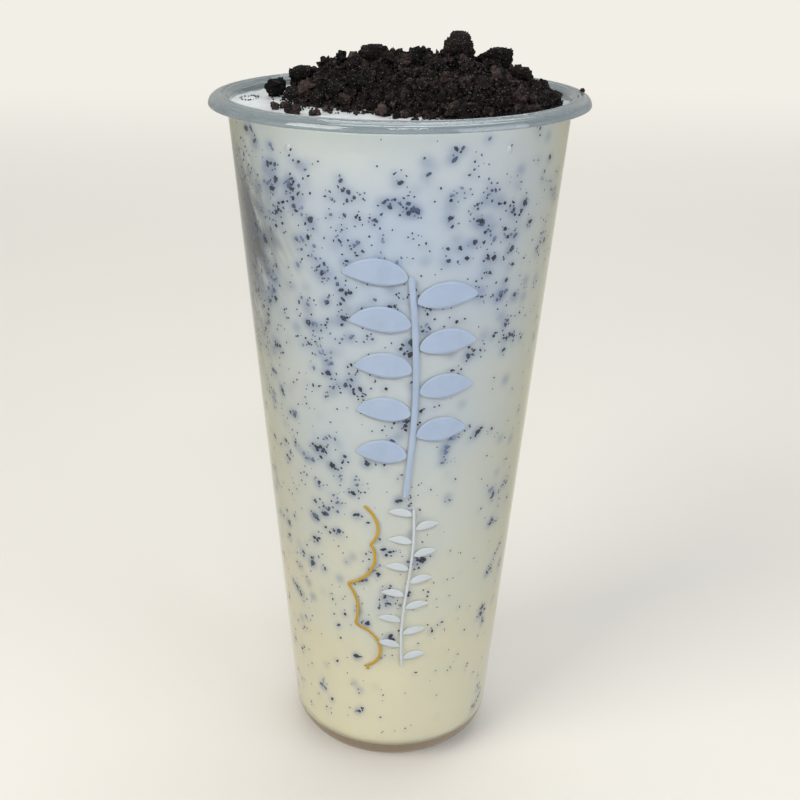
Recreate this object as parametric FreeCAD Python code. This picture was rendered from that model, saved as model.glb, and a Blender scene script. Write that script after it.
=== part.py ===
"""A cookies and cream milkshake in a tall clear cup.

The cup is injection-moulded polypropylene, with a turned-down sealing rim, a rounded bottom corner and a
foot ring. It holds the milkshake, a layer of whipped cream, and a heap of dark cookie crumbs with a few
large clumps on it. Millimetres, +Z up, origin at the middle of the foot ring, on the table.
"""

import FreeCAD, Part
import itertools
import math
import os

Vector = FreeCAD.Vector

# Cup
CUP_HEIGHT = 186.0
BODY_TOP_RADIUS = 43.0
BODY_BASE_RADIUS = 27.9
WALL = 0.8
CORNER_RADIUS = 9.1
RIM_OVERHANG = 4.5
RIM_PLATE = 1.0
RIM_SKIRT_WALL = 0.9
RIM_SKIRT_HEIGHT = 2.4
RIM_EDGE_ROUND = 2.2
RIM_GROOVE_WIDTH = 0.9
RIM_GROOVE_DEPTH = 0.3
LIP_SLOPE = 1.1
LIP_ROUND = 0.5
FLOOR_TOP = 3.0
FLOOR_THICKNESS = 1.3
FOOT_WIDTH = 2.4
SMALL_ROUND = 0.25

# Stacking nubs, low domes on the outside below the rim
NUB_COUNT = 5
NUB_DEPTH = 7.8
NUB_RADIUS = 0.95
NUB_HEIGHT = 0.3

# Cream
CREAM_EDGE_DEPTH = 3.0
CREAM_THICKNESS = 5.0
CREAM_DOME = 1.2
CREAM_RIPPLE = 0.4
CREAM_RIPPLE_SPACING = 9.0

# Crumb heap: it stands to the right of the cup's axis, and two bays in its outline leave the cream bare.
# A bay has a direction in degrees, a depth and a narrowness
HEAP_RISE = 8.6
HEAP_FLATNESS = 3.2
HEAP_SHIFT_X = 3.0
HEAP_SHIFT_Y = 2.0
HEAP_EDGE_GAP = 2.9
HEAP_WALL_GAP = 0.3
HEAP_BAYS = {"front": (-115.0, 14.5, 2), "left": (168.0, 6.0, 6)}
HEAP_WANDER = 2.2
HEAP_WANDER_LOBES = 3.0
HEAP_LUMP = 1.3
HEAP_LUMP_SPACING = 6.2
HEAP_CRUMB = 0.9
HEAP_CRUMB_SPACING = 3.1
HEAP_EDGE_STEEPNESS = 4.0

# Large clumps: direction from the heap's middle in degrees, distance as a share of the heap's radius, then
# width, depth and height
CLUMPS = {
    "crumb_clump_tall": (5.0, 0.30, 9.8, 9.2, 10.2),
    "crumb_clump_right": (-2.0, 0.54, 9.4, 8.4, 7.4),
    "crumb_clump_middle": (168.0, 0.25, 8.2, 7.4, 6.1),
    "crumb_clump_left": (166.0, 0.73, 8.8, 7.2, 5.6),
    "crumb_clump_shoulder": (-16.0, 0.70, 6.6, 6.2, 4.4),
    "crumb_clump_loose": (174.0, 0.89, 6.2, 5.4, 6.0),
}
CLUMP_SUNK_SHARE = 0.2
CLUMP_SEAT_GAP = 0.15
CLUMP_SEAT_MARGIN = 1.6
CLUMP_KNOB_LOBES = 1.9
CLUMP_GRIT_LOBES = 4.3
CLUMP_ROUGHNESS = 0.42

# Seeds of the fixed noise
CREAM_SEED = 5
WANDER_SEED = 11
LUMP_SEED = 2
CRUMB_SEED = 3
CLUMP_SEED = 20
HASH_STEPS = (127.1, 311.7, 74.7, 53.3)
HASH_SPREAD = 43758.5453

# How finely the uneven surfaces are cut into facets
SPOKES = 90
HEAP_RINGS = 18
CREAM_RINGS = 6
CLUMP_SPLITS = 2

taper = (BODY_TOP_RADIUS - BODY_BASE_RADIUS) / (CUP_HEIGHT - RIM_PLATE)
wall_across = WALL * math.hypot(1.0, taper)
rim_radius = BODY_TOP_RADIUS + RIM_OVERHANG


def outer_radius(z):
    """The body's outer radius at a height."""
    return BODY_BASE_RADIUS + taper * z


def inner_radius(z):
    """The body's inner radius at a height."""
    return outer_radius(z) - wall_across


cream_edge = CUP_HEIGHT - CREAM_EDGE_DEPTH
heap_reach = inner_radius(cream_edge) - HEAP_EDGE_GAP


def hash_unit(i, j, k, seed):
    """A fixed number from 0 to 1 for a place in a lattice."""
    mixed = sum(step * part for step, part in zip(HASH_STEPS, (i, j, k, seed)))
    value = math.sin(mixed) * HASH_SPREAD
    return value - math.floor(value)


def value_noise(x, y, z, seed):
    """Smooth noise from -1 to 1 with a lattice spacing of one."""
    cell = [math.floor(c) for c in (x, y, z)]
    part = [c - f for c, f in zip((x, y, z), cell)]
    blend = [p * p * (3.0 - 2.0 * p) for p in part]
    total = 0.0
    for corner in range(8):
        weight = 1.0
        index = []
        for axis in range(3):
            high = (corner >> axis) & 1
            weight *= blend[axis] if high else 1.0 - blend[axis]
            index.append(cell[axis] + high)
        total += weight * hash_unit(*index, seed)
    return 2.0 * total - 1.0


def revolved(corners):
    """A solid of revolution about Z from an outline of (radius, height, rounding) corners."""
    count = len(corners)
    places = [Vector(radius, 0, height) for radius, height, _ in corners]
    starts = []
    ends = []
    arcs = []
    for n in range(count):
        before, here, after = (places[i % count] for i in (n - 1, n, n + 1))
        rounding = corners[n][2]
        to_before = (before - here).normalize()
        to_after = (after - here).normalize()
        if rounding == 0.0:
            starts.append(here)
            ends.append(here)
            continue
        half_angle = to_before.getAngle(to_after) / 2.0
        reach = rounding / math.tan(half_angle)
        start = here + to_before * reach
        end = here + to_after * reach
        centre = here + (to_before + to_after).normalize() * (rounding / math.sin(half_angle))
        middle = centre + (here - centre).normalize() * rounding
        starts.append(start)
        ends.append(end)
        arcs.append(Part.Arc(start, middle, end).toShape())
    edges = list(arcs)
    for n in range(count):
        a = ends[n]
        b = starts[(n + 1) % count]
        edges.append(Part.LineSegment(a, b).toShape())
    wire = Part.Wire(Part.__sortEdges__(edges))
    return Part.Face(wire).revolve(Vector(0, 0, 0), Vector(0, 0, 1), 360.0)


def make_cup():
    """The cup: foot ring, rounded corner, tapered wall and turned-down sealing rim."""
    plate_under = CUP_HEIGHT - RIM_PLATE
    skirt_bottom = CUP_HEIGHT - RIM_SKIRT_HEIGHT
    lip_low = CUP_HEIGHT - LIP_SLOPE
    recess = FLOOR_TOP - FLOOR_THICKNESS
    foot_outer = BODY_BASE_RADIUS - CORNER_RADIUS
    groove = (rim_radius - RIM_EDGE_ROUND + inner_radius(lip_low) + LIP_SLOPE) / 2.0
    shell = revolved(
        [
            (0.0, recess, 0.0),
            (foot_outer - FOOT_WIDTH, recess, SMALL_ROUND),
            (foot_outer - FOOT_WIDTH, 0.0, SMALL_ROUND),
            (BODY_BASE_RADIUS, 0.0, CORNER_RADIUS),
            (outer_radius(plate_under), plate_under, SMALL_ROUND),
            (rim_radius - RIM_SKIRT_WALL, plate_under, RIM_EDGE_ROUND - RIM_PLATE),
            (rim_radius - RIM_SKIRT_WALL, skirt_bottom, SMALL_ROUND),
            (rim_radius, skirt_bottom, SMALL_ROUND),
            (rim_radius, CUP_HEIGHT, RIM_EDGE_ROUND),
            (groove + RIM_GROOVE_WIDTH / 2.0, CUP_HEIGHT, 0.0),
            (groove, CUP_HEIGHT - RIM_GROOVE_DEPTH, SMALL_ROUND),
            (groove - RIM_GROOVE_WIDTH / 2.0, CUP_HEIGHT, 0.0),
            (inner_radius(lip_low) + LIP_SLOPE, CUP_HEIGHT, LIP_ROUND),
            (inner_radius(lip_low), lip_low, LIP_ROUND),
            (inner_radius(FLOOR_TOP), FLOOR_TOP, inner_corner()),
            (0.0, FLOOR_TOP, 0.0),
        ]
    )
    ball_radius = (NUB_RADIUS**2 + NUB_HEIGHT**2) / (2.0 * NUB_HEIGHT)
    nub_z = CUP_HEIGHT - NUB_DEPTH
    nub_reach = outer_radius(nub_z) + NUB_HEIGHT - ball_radius
    hollow = revolved(
        [
            (0.0, 0.0, 0.0),
            (inner_radius(0.0), 0.0, 0.0),
            (inner_radius(CUP_HEIGHT), CUP_HEIGHT, 0.0),
            (0.0, CUP_HEIGHT, 0.0),
        ]
    )
    for n in range(NUB_COUNT):
        turn = math.radians(90.0 + 360.0 * n / NUB_COUNT)
        place = Vector(nub_reach * math.cos(turn), nub_reach * math.sin(turn), nub_z)
        shell = shell.fuse(Part.makeSphere(ball_radius, place).cut(hollow))
    return max(shell.Solids, key=lambda solid: solid.Volume)


def inner_corner():
    """The rounding inside the bottom corner."""
    return CORNER_RADIUS - FLOOR_TOP / 2.0


def make_milkshake():
    """The drink, from the cup's floor to the cream, against the cup's wall."""
    top = cream_edge - CREAM_THICKNESS
    return revolved(
        [
            (0.0, FLOOR_TOP, 0.0),
            (inner_radius(FLOOR_TOP), FLOOR_TOP, inner_corner()),
            (inner_radius(top), top, 0.0),
            (0.0, top, 0.0),
        ]
    )


def cream_height(x, y):
    """The top of the cream: a low dome with soft ripples."""
    share = math.hypot(x, y) / inner_radius(cream_edge)
    ripple = value_noise(x / CREAM_RIPPLE_SPACING, y / CREAM_RIPPLE_SPACING, 0.0, CREAM_SEED)
    return cream_edge + CREAM_DOME * (1.0 - share * share) + CREAM_RIPPLE * ripple


def wall_distance(angle, radius):
    """The distance from the heap's middle to a circle about the cup's axis, in one direction."""
    along = HEAP_SHIFT_X * math.cos(angle) + HEAP_SHIFT_Y * math.sin(angle)
    apart = HEAP_SHIFT_X**2 + HEAP_SHIFT_Y**2 - radius**2
    return math.sqrt(along**2 - apart) - along


def heap_radius(angle):
    """The heap's outline: a round one with bays, and with an edge that wanders."""
    radius = heap_reach
    for direction, depth, narrowness in HEAP_BAYS.values():
        facing = max(0.0, math.cos(angle - math.radians(direction)))
        radius -= depth * facing**narrowness
    lobe_x = HEAP_WANDER_LOBES * math.cos(angle)
    lobe_y = HEAP_WANDER_LOBES * math.sin(angle)
    radius += HEAP_WANDER * value_noise(lobe_x, lobe_y, 0.0, WANDER_SEED)
    return min(radius, wall_distance(angle, inner_radius(cream_edge) - HEAP_WALL_GAP))


def heap_cover(x, y, lumpy):
    """The thickness of the crumb heap over the cream, smooth or with its lumps."""
    dx = x - HEAP_SHIFT_X
    dy = y - HEAP_SHIFT_Y
    spread = min(1.0, math.hypot(dx, dy) / heap_radius(math.atan2(dy, dx)))
    cover = HEAP_RISE * (1.0 - spread**HEAP_FLATNESS)
    if lumpy:
        lump = value_noise(x / HEAP_LUMP_SPACING, y / HEAP_LUMP_SPACING, 0.0, LUMP_SEED)
        crumb = value_noise(x / HEAP_CRUMB_SPACING, y / HEAP_CRUMB_SPACING, 0.0, CRUMB_SEED)
        inside = min(1.0, HEAP_EDGE_STEEPNESS * (1.0 - spread))
        cover += inside * (HEAP_LUMP * lump + HEAP_CRUMB * crumb)
    return max(cover, 0.0)


def clump_seat(direction, share, width, depth):
    """A clump's place, the radius of its seat, and the height of the seat's plane at any place."""
    turn = math.radians(direction)
    x = HEAP_SHIFT_X + share * heap_reach * math.cos(turn)
    y = HEAP_SHIFT_Y + share * heap_reach * math.sin(turn)
    radius = max(width, depth) / 2.0

    def smooth(u, v):
        return cream_height(u, v) + heap_cover(u, v, False)

    slope_x = (smooth(x + radius, y) - smooth(x - radius, y)) / (2.0 * radius)
    slope_y = (smooth(x, y + radius) - smooth(x, y - radius)) / (2.0 * radius)
    middle = smooth(x, y)
    if heap_cover(x, y, False) == 0.0:
        middle += CREAM_RIPPLE
        slope_x = 0.0
        slope_y = 0.0
    return x, y, radius, lambda u, v: middle + slope_x * (u - x) + slope_y * (v - y)


def heap_height(x, y):
    """The top of the crumb heap, pressed flat where a clump stands on it."""
    height = cream_height(x, y) + heap_cover(x, y, True)
    if heap_cover(x, y, False) == 0.0:
        return height
    nearest = []
    for seat_x, seat_y, radius, plane in seats.values():
        nearest.append((math.hypot(x - seat_x, y - seat_y) - radius, plane))
    beyond, plane = min(nearest, key=lambda seat: seat[0])
    share = min(1.0, max(0.0, beyond / CLUMP_SEAT_MARGIN - 1.0))
    return plane(x, y) * (1.0 - share) + height * share


def faceted(points, triangles):
    """A solid from points and the triangles of its closed surface."""
    faces = []
    for triangle in triangles:
        corners = [points[n] for n in triangle]
        faces.append(Part.Face(Part.makePolygon(corners + corners[:1])))
    solid = Part.makeSolid(Part.makeShell(faces))
    if solid.Volume < 0.0:
        solid.reverse()
    return solid


def spoke_rings(shares, place):
    """A middle point and rings of points, one ring for each share, from place(angle, share)."""
    points = [place(0.0, 0.0)]
    for share in shares:
        points += [place(2.0 * math.pi * n / SPOKES, share) for n in range(SPOKES)]
    return points


def join_rings(inner, outer):
    """Triangles between two rings of spokes, given where each ring's points start."""
    triangles = []
    for n in range(SPOKES):
        m = (n + 1) % SPOKES
        triangles.append((inner + n, outer + n, outer + m))
        triangles.append((inner + n, outer + m, inner + m))
    return triangles


def disc(first, count):
    """Triangles of a middle point and the rings that follow it."""
    triangles = [(first, first + 1 + n, first + 1 + (n + 1) % SPOKES) for n in range(SPOKES)]
    for ring in range(count - 1):
        start = first + 1 + ring * SPOKES
        triangles += join_rings(start, start + SPOKES)
    return triangles


def flipped(triangles):
    """The same triangles, facing the other way."""
    return [triangle[::-1] for triangle in triangles]


def on_heap(angle, share, height_at):
    """A point of a surface at a share of the heap's outline."""
    radius = share * heap_radius(angle)
    x = HEAP_SHIFT_X + radius * math.cos(angle)
    y = HEAP_SHIFT_Y + radius * math.sin(angle)
    return Vector(x, y, height_at(x, y))


def ring_shares(count):
    """The places of evenly spaced rings, as shares of the outermost one."""
    return [(n + 1) / count for n in range(count)]


def cream_under_heap():
    """The cream's surface out to the heap's outline."""
    return spoke_rings(ring_shares(CREAM_RINGS), lambda angle, share: on_heap(angle, share, cream_height))


def make_heap():
    """The crumb heap: its lumpy top, closed below by the cream's surface out to the same outline."""
    inside = ring_shares(HEAP_RINGS)[:-1]
    top = spoke_rings(inside, lambda angle, share: on_heap(angle, share, heap_height))
    under = cream_under_heap()
    triangles = disc(0, HEAP_RINGS - 1)
    triangles += join_rings(len(top) - SPOKES, len(top) + len(under) - SPOKES)
    triangles += flipped(disc(len(top), CREAM_RINGS))
    return faceted(top + under, triangles)


def make_cream():
    """The cream: its top under and around the heap, its side against the cup's wall, and a flat floor."""
    floor = cream_edge - CREAM_THICKNESS
    points = cream_under_heap()
    triangles = disc(0, CREAM_RINGS)
    for radius_at, height_at in (
        (inner_radius(cream_edge), cream_height),
        (inner_radius(floor), lambda x, y: floor),
    ):
        start = len(points)
        for n in range(SPOKES):
            angle = 2.0 * math.pi * n / SPOKES
            reach = wall_distance(angle, radius_at)
            x = HEAP_SHIFT_X + reach * math.cos(angle)
            y = HEAP_SHIFT_Y + reach * math.sin(angle)
            points.append(Vector(x, y, height_at(x, y)))
        triangles += join_rings(start - SPOKES, start)
    points.append(Vector(0, 0, floor))
    last = len(points) - 1
    start = last - SPOKES
    triangles += [(last, start + (n + 1) % SPOKES, start + n) for n in range(SPOKES)]
    return faceted(points, triangles)


def ball_mesh(splits):
    """Points on a unit ball and its triangles, from a split icosahedron."""
    golden = (1.0 + math.sqrt(5.0)) / 2.0
    points = []
    for a in (-1.0, 1.0):
        for b in (-golden, golden):
            points += [Vector(0, a, b), Vector(a, b, 0), Vector(b, 0, a)]
    triangles = []
    for i, j, k in itertools.combinations(range(len(points)), 3):
        p, q, r = (points[n] for n in (i, j, k))
        if max((p - q).Length, (q - r).Length, (r - p).Length) < golden * golden:
            outwards = (q - p).cross(r - p).dot(p) > 0.0
            triangles.append((i, j, k) if outwards else (i, k, j))
    points = [Vector(p).normalize() for p in points]
    for _ in range(splits):
        middles = {}
        finer = []
        for triangle in triangles:
            between = []
            for p, q in zip(triangle, triangle[1:] + triangle[:1]):
                key = (min(p, q), max(p, q))
                if key not in middles:
                    points.append((points[p] + points[q]).normalize())
                    middles[key] = len(points) - 1
                between.append(middles[key])
            i, j, k = triangle
            ij, jk, ki = between
            finer += [(i, ij, ki), (ij, j, jk), (ki, jk, k), (ij, jk, ki)]
        triangles = finer
    return points, triangles


def make_clump(name, seed):
    """One knobbly clump of cookie, cut flat just above the plane of its seat."""
    _, _, width, depth, height = CLUMPS[name]
    x, y, _, plane = seats[name]
    centre = Vector(x, y, plane(x, y) + height * (0.5 - CLUMP_SUNK_SHARE))

    def above_seat(point):
        return point.z - plane(point.x, point.y) - CLUMP_SEAT_GAP

    ball, triangles = ball_mesh(CLUMP_SPLITS)
    points = []
    for p in ball:
        knob = value_noise(CLUMP_KNOB_LOBES * p.x, CLUMP_KNOB_LOBES * p.y, CLUMP_KNOB_LOBES * p.z, seed)
        grit = value_noise(CLUMP_GRIT_LOBES * p.x, CLUMP_GRIT_LOBES * p.y, CLUMP_GRIT_LOBES * p.z, seed + 1)
        swell = 1.0 - CLUMP_ROUGHNESS / 2.0 * (1.0 - (knob + grit) / 2.0)
        reach = Vector(p.x * width, p.y * depth, p.z * height) * (swell / 2.0)
        above = above_seat(centre + reach)
        if above < 0.0:
            reach *= above_seat(centre) / (above_seat(centre) - above)
        points.append(centre + reach)
    return faceted(points, triangles)


def build():
    """Every node's solid, by name."""
    nodes = {
        "cup": make_cup(),
        "milkshake": make_milkshake(),
        "whipped_cream": make_cream(),
        "crumb_heap": make_heap(),
    }
    for n, name in enumerate(CLUMPS):
        nodes[name] = make_clump(name, CLUMP_SEED + 2 * n)
    return nodes


def export(nodes):
    """Writes one STEP file for each node."""
    os.makedirs("parts", exist_ok=True)
    for name, shape in nodes.items():
        shape.exportStep(f"parts/{name}.step")
        box = shape.BoundBox
        print(
            f"{name}: valid {shape.isValid()}, solids {len(shape.Solids)}, faces {len(shape.Faces)},"
            f" volume {shape.Volume / 1000.0:.2f} ml,"
            f" z {box.ZMin:.2f} to {box.ZMax:.2f}, x {box.XMin:.2f} to {box.XMax:.2f}"
        )


seats = {name: clump_seat(*size_and_place[:-1]) for name, size_and_place in CLUMPS.items()}
export(build())
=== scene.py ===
"""The looks of a cookies and cream milkshake: a hazy moulded cup, speckled drink, whipped cream and crumbs.

Metres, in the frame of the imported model: +Z up, the cup's axis on Z, the printed front towards -Y.
"""

import math

import bmesh
import bpy
import numpy as np
from mathutils import Matrix, Vector, noise
from mathutils.bvhtree import BVHTree


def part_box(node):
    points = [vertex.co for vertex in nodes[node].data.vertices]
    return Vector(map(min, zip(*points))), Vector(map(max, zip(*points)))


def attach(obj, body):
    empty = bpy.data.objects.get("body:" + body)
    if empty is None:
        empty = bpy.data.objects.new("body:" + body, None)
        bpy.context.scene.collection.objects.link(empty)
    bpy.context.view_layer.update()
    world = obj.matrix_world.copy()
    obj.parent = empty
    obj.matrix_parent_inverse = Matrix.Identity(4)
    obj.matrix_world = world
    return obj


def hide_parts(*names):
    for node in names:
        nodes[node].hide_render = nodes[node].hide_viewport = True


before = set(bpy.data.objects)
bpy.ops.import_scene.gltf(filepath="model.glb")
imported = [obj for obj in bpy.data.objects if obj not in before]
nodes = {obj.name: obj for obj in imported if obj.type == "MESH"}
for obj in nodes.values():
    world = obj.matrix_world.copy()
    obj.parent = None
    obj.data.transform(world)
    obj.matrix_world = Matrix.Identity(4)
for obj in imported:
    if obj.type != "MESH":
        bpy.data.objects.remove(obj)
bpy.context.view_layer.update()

MM = 0.001
TAU = 2.0 * math.pi


# ---------------------------------------------------------------- measuring the frame

def surface_of(name):
    """A search tree over one node's surface."""
    mesh = nodes[name].data
    corners = [v.co.copy() for v in mesh.vertices]
    return BVHTree.FromPolygons(corners, [p.vertices[:] for p in mesh.polygons])


cup_surface = surface_of("cup")
cream_surface = surface_of("whipped_cream")
heap_surface = surface_of("crumb_heap")
DOWN = Vector((0.0, 0.0, -1.0))
SKY = 0.4
drink_low, drink_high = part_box("milkshake")
cup_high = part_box("cup")[1]
cream_low, cream_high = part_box("whipped_cream")
heap_low, heap_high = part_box("crumb_heap")


def height_on(surface, x, y):
    """The top of a surface over a point, or None beside it."""
    hit = surface.ray_cast(Vector((x, y, SKY)), DOWN)[0]
    return None if hit is None else hit.z


def inside_wall(z):
    """The radius and height of the cup's inner wall at a height, and the direction there into the wall."""
    place, normal, _, _ = cup_surface.ray_cast(Vector((0.0, 0.0, z)), Vector((1.0, 0.0, 0.0)))
    into = normal if normal.x > 0.0 else -normal
    return np.array([place.x, place.z]), np.array([into.x, into.z]) / math.hypot(into.x, into.z)


def outside_wall(turn, z):
    """The place on the cup's outer wall, with turn measured from the front."""
    outward = Vector((math.sin(turn), -math.cos(turn), 0.0))
    start = outward * cup_high.x * 1.5
    start.z = z
    return cup_surface.ray_cast(start, -outward)[0]


# ---------------------------------------------------------------- making meshes and materials

def linear(hex_colour):
    """An sRGB hex colour as linear red, green, blue and an alpha of one."""
    parts = [int(hex_colour[i:i + 2], 16) / 255.0 for i in (1, 3, 5)]
    return [c / 12.92 if c <= 0.04045 else ((c + 0.055) / 1.055) ** 2.4 for c in parts] + [1.0]


def make_piece(name, points, faces, material, smooth=True):
    """A mesh object from arrays of points and faces."""
    mesh = bpy.data.meshes.new(name)
    corners = faces.tolist() if isinstance(faces, np.ndarray) else faces
    mesh.from_pydata(np.asarray(points).tolist(), [], corners)
    mesh.polygons.foreach_set("use_smooth", [smooth] * len(mesh.polygons))
    mesh.materials.append(material)
    mesh.update()
    piece = bpy.data.objects.new(name, mesh)
    bpy.context.scene.collection.objects.link(piece)
    return piece


def paint(piece, name, values):
    """One number for each point of a piece, for its material to read."""
    layer = piece.data.attributes.new(name, "FLOAT", "POINT")
    layer.data.foreach_set("value", np.asarray(values, dtype=np.float32))


def add(tree, kind, inputs=None, **settings):
    """Adds a shader node with its settings, plain input values and links."""
    made = tree.nodes.new("ShaderNode" + kind)
    for name, value in settings.items():
        setattr(made, name, value)
    for socket, value in (inputs or {}).items():
        if isinstance(value, bpy.types.NodeSocket):
            tree.links.new(value, made.inputs[socket])
        else:
            made.inputs[socket].default_value = value
    return made


def ramp_stops(ramp, stops):
    """Sets a colour ramp's stops from pairs of place and hex colour."""
    elements = ramp.color_ramp.elements
    while len(elements) < len(stops):
        elements.new(0.5)
    for element, (place, colour) in zip(elements, stops):
        element.position = place
        element.color = linear(colour)


def new_material(name):
    """An empty node material and its tree."""
    material = bpy.data.materials.new(name)
    material.use_nodes = True
    material.node_tree.nodes.clear()
    return material, material.node_tree


def shown(tree, shader):
    """Sends a shader to the material's output."""
    add(tree, "OutputMaterial", {"Surface": shader.outputs[0]})


def per_mm(size_mm):
    """The texture scale at which one cell is this many millimetres across."""
    return 1.0 / (size_mm * MM)


# ---------------------------------------------------------------- materials

# Where the plastic turns milky in the rim and, as painted shade, a near opaque taupe in the foot standing
# for the shadowed bottom of the drink, and where its olive edge fades in
RIM_STARTS = cup_high.z - 3.2 * MM
RIM_CLEARNESS = 0.78
SHADED_FOOT_ENDS = 7.8 * MM
SHADED_FOOT_CLEARNESS = 0.03
OLIVE_FROM = 20.0 * MM
OLIVE_FULL = 90.0 * MM


def polypropylene():
    """Injection-moulded polypropylene: clear enough to see the drink through the thin wall, faintly olive
    where the eye looks along the wall, a milky blue-grey in the thick rim, and in the foot a near opaque
    taupe that is painted shade of the drink's shadowed bottom, with a soft mould gloss."""
    material, tree = new_material("hazy_polypropylene")
    place = add(tree, "TexCoord")
    height = add(tree, "SeparateXYZ", {0: place.outputs["Object"]})
    rim = add(tree, "MapRange", {0: height.outputs["Z"], 1: RIM_STARTS, 2: RIM_STARTS + 1.0 * MM})
    # The foot band, which is painted as near opaque shade
    foot = add(tree, "MapRange", {0: height.outputs["Z"], 1: SHADED_FOOT_ENDS, 2: SHADED_FOOT_ENDS - 0.2 * MM})
    clear_rim = add(tree, "MapRange", {0: rim.outputs[0], 3: 1.0, 4: RIM_CLEARNESS})
    clear_shaded_foot = add(tree, "MapRange", {0: foot.outputs[0], 3: 1.0, 4: SHADED_FOOT_CLEARNESS})
    clearness = add(tree, "Math", {0: clear_rim.outputs[0], 1: clear_shaded_foot.outputs[0]}, operation="MULTIPLY")
    edge = add(tree, "LayerWeight", {"Blend": 0.62})
    along_wall = add(tree, "Math", {0: edge.outputs["Facing"], 1: 1.6}, operation="POWER")
    higher = add(tree, "MapRange", {0: height.outputs["Z"], 1: OLIVE_FROM, 2: OLIVE_FULL, 3: 0.4, 4: 1.0})
    olive = add(tree, "Math", {0: along_wall.outputs[0], 1: higher.outputs[0]}, operation="MULTIPLY")
    wall_tint = add(tree, "MixRGB", {0: olive.outputs[0], 1: linear("#fafaf9"), 2: linear("#ab9404")})
    rim_tint = add(tree, "MixRGB", {0: rim.outputs[0], 1: wall_tint.outputs[0], 2: linear("#a9b3b8")})
    # The foot's taupe is painted shade: the dark underside of the drink above the floor, seen through the
    # base
    tint = add(tree, "MixRGB", {0: foot.outputs[0], 1: rim_tint.outputs[0], 2: linear("#7f6f5b")})
    flow = add(tree, "TexNoise", {"Vector": place.outputs["Object"], "Scale": per_mm(14.0), "Detail": 2.0})
    ripple = add(tree, "Bump", {"Height": flow.outputs[0], "Strength": 0.12, "Distance": 0.3 * MM})
    plastic = add(tree, "BsdfPrincipled", {"Base Color": tint.outputs[0], "Roughness": 0.07, "IOR": 1.49,
                                           "Transmission Weight": clearness.outputs[0],
                                           "Normal": ripple.outputs[0]})
    lets_light_in = add(tree, "BsdfTransparent", {"Color": linear("#f2f4f4")})
    path = add(tree, "LightPath")
    shown(tree, add(tree, "MixShader", {0: path.outputs["Is Shadow Ray"], 1: plastic.outputs[0],
                                        2: lets_light_in.outputs[0]}))
    return material


# The drink's colour by the share of the height from its bottom up to the cup's rim: its own cream low down,
# with painted cool skylight in the grey-blue towards the top
DRINK_AND_SKYLIGHT_BY_LEVEL = [(0.0, "#cfcbb3"), (0.2, "#cac7b1"), (0.42, "#c1c4bb"), (0.68, "#bec3c0"),
                  (1.0, "#bdc2c1")]


def drink_colour(tree):
    """The drink's colour by height and side, clouded where crumbs are dense: cream at the bottom, cooler
    and greyer at the top, where painted cool skylight is mixed into the drink's own colour."""
    place = add(tree, "TexCoord")
    cloud = add(tree, "TexNoise", {"Vector": place.outputs["Object"], "Scale": per_mm(26.0), "Detail": 3.0})
    height = add(tree, "SeparateXYZ", {0: place.outputs["Object"]})
    level = add(tree, "MapRange", {0: height.outputs["Z"], 1: drink_low.z, 2: cup_high.z})
    wander = add(tree, "MapRange", {0: cloud.outputs[0], 1: 0.3, 2: 0.7, 3: -0.1, 4: 0.1})
    level_moved = add(tree, "Math", {0: level.outputs[0], 1: wander.outputs[0]}, operation="ADD")
    # The ramp's cool grey top is painted skylight over the drink's own cream
    by_level = add(tree, "ValToRGB", {0: level_moved.outputs[0]})
    ramp_stops(by_level, DRINK_AND_SKYLIGHT_BY_LEVEL)
    haze = add(tree, "Attribute", attribute_name="haze")
    hazed = add(tree, "MixRGB", {0: haze.outputs["Fac"], 1: by_level.outputs[0], 2: linear("#9dafc8")})
    smear = add(tree, "Attribute", attribute_name="smear")
    smeared = add(tree, "MixRGB", {0: smear.outputs["Fac"], 1: hazed.outputs[0], 2: linear("#151918")})
    halo = add(tree, "Attribute", attribute_name="halo")
    return add(tree, "MixRGB", {0: halo.outputs["Fac"], 1: smeared.outputs[0], 2: linear("#4a6592")})


def milk_drink():
    """Blended milk, ice cream and crushed cookie: an opaque wet liquid with light spreading under it."""
    material, tree = new_material("blended_milkshake")
    colour = drink_colour(tree)
    liquid = add(tree, "BsdfPrincipled", {"Base Color": colour.outputs[0], "Roughness": 0.3, "IOR": 1.35,
                                          "Subsurface Weight": 0.25, "Subsurface Radius": (1.0, 0.85, 0.65),
                                          "Subsurface Scale": 2.0 * MM})
    shown(tree, liquid)
    return material


def whipped_cream():
    """Whipped cream: white, fine-grained and moist, so its ripples catch small soft highlights."""
    material, tree = new_material("whipped_cream")
    place = add(tree, "TexCoord")
    froth = add(tree, "TexNoise", {"Vector": place.outputs["Object"], "Scale": per_mm(1.6), "Detail": 5.0})
    tint = add(tree, "ValToRGB", {0: froth.outputs[0]})
    ramp_stops(tint, [(0.3, "#c6cdd1"), (0.7, "#d9dcdd")])
    relief = add(tree, "Bump", {"Height": froth.outputs[0], "Strength": 0.35, "Distance": 0.25 * MM})
    cream = add(tree, "BsdfPrincipled", {"Base Color": tint.outputs[0], "Roughness": 0.28, "IOR": 1.4,
                                         "Subsurface Weight": 0.3, "Subsurface Radius": (1.0, 0.9, 0.8),
                                         "Subsurface Scale": 1.5 * MM, "Normal": relief.outputs[0]})
    shown(tree, cream)
    return material


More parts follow.
